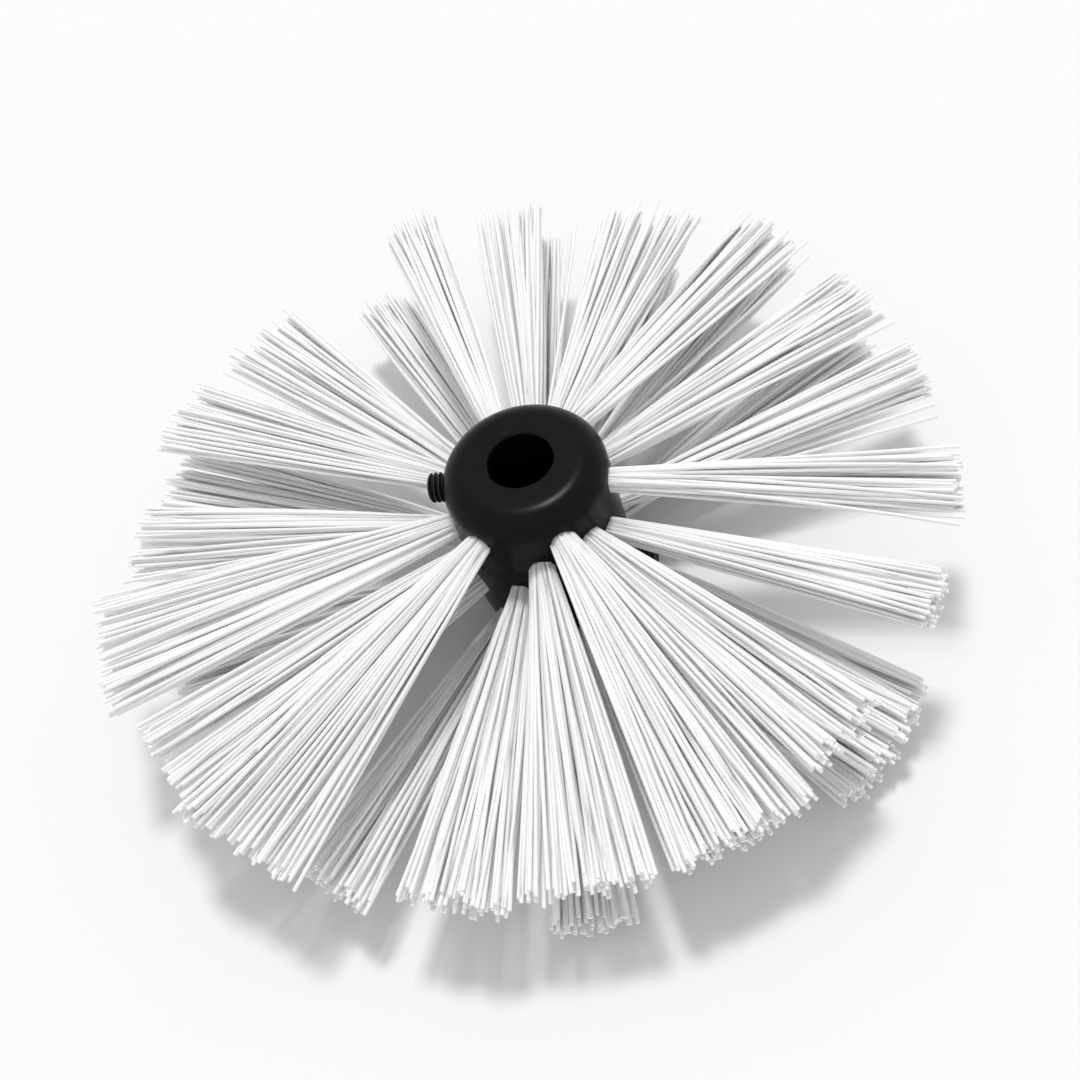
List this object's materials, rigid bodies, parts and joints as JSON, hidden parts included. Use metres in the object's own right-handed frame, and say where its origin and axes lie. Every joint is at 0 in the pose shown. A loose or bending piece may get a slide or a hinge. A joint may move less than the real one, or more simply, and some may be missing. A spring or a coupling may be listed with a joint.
{
  "type": "pipe brush",
  "caption": "Rotary pipe brush head: black cylindrical hub with rounded ends and a through bore for a drive shaft, radial set screws, and flared tufts of white nylon bristle all round.",
  "frame": {"origin": "centre of the hub's lower end face, on the bore's axis", "axes": "+Z along the bore's axis towards the end near the upper set screw; -Y is the side that faces the picture's camera"},
  "size_m": [0.1639, 0.1641, 0.039],
  "materials": {
    "hub_plastic": "satin moulded black",
    "bristle_nylon": "semi-gloss white, slightly translucent",
    "screw_steel": "black oxide",
    "anchor_wire": "galvanised flat wire"
  },
  "bodies": {
    "brush_head": {"hub": "hub_plastic", "tufts_front": "bristle_nylon", "tufts_right": "bristle_nylon", "tufts_back": "bristle_nylon", "tufts_left": "bristle_nylon", "tuft_anchor_01": "anchor_wire", "tuft_anchor_02": "anchor_wire", "tuft_anchor_03": "anchor_wire", "tuft_anchor_04": "anchor_wire", "tuft_anchor_05": "anchor_wire", "tuft_anchor_06": "anchor_wire", "tuft_anchor_07": "anchor_wire", "tuft_anchor_08": "anchor_wire", "tuft_anchor_09": "anchor_wire", "tuft_anchor_10": "anchor_wire", "tuft_anchor_11": "anchor_wire", "tuft_anchor_12": "anchor_wire", "tuft_anchor_13": "anchor_wire", "tuft_anchor_14": "anchor_wire", "tuft_anchor_15": "anchor_wire", "tuft_anchor_16": "anchor_wire", "tuft_anchor_17": "anchor_wire", "tuft_anchor_18": "anchor_wire", "tuft_anchor_19": "anchor_wire", "tuft_anchor_20": "anchor_wire", "tuft_anchor_21": "anchor_wire", "tuft_anchor_22": "anchor_wire", "tuft_anchor_23": "anchor_wire", "tuft_anchor_24": "anchor_wire", "tuft_anchor_25": "anchor_wire", "tuft_anchor_26": "anchor_wire", "tuft_anchor_27": "anchor_wire", "tuft_anchor_28": "anchor_wire", "tuft_anchor_29": "anchor_wire", "tuft_anchor_30": "anchor_wire", "tuft_anchor_31": "anchor_wire"},
    "upper_screw": {"set_screw_upper": "screw_steel"},
    "lower_screw": {"set_screw_lower": "screw_steel"}
  },
  "joints": [
    {"name": "upper_screw_travel", "type": "slide", "parent": "brush_head", "child": "upper_screw", "axis": [-0.9272, 0.3746, 0], "range_m": [-0.003, 0.006]},
    {"name": "lower_screw_travel", "type": "slide", "parent": "brush_head", "child": "lower_screw", "axis": [0.9272, -0.3746, 0], "range_m": [-0.0045, 0.0045]}
  ]
}
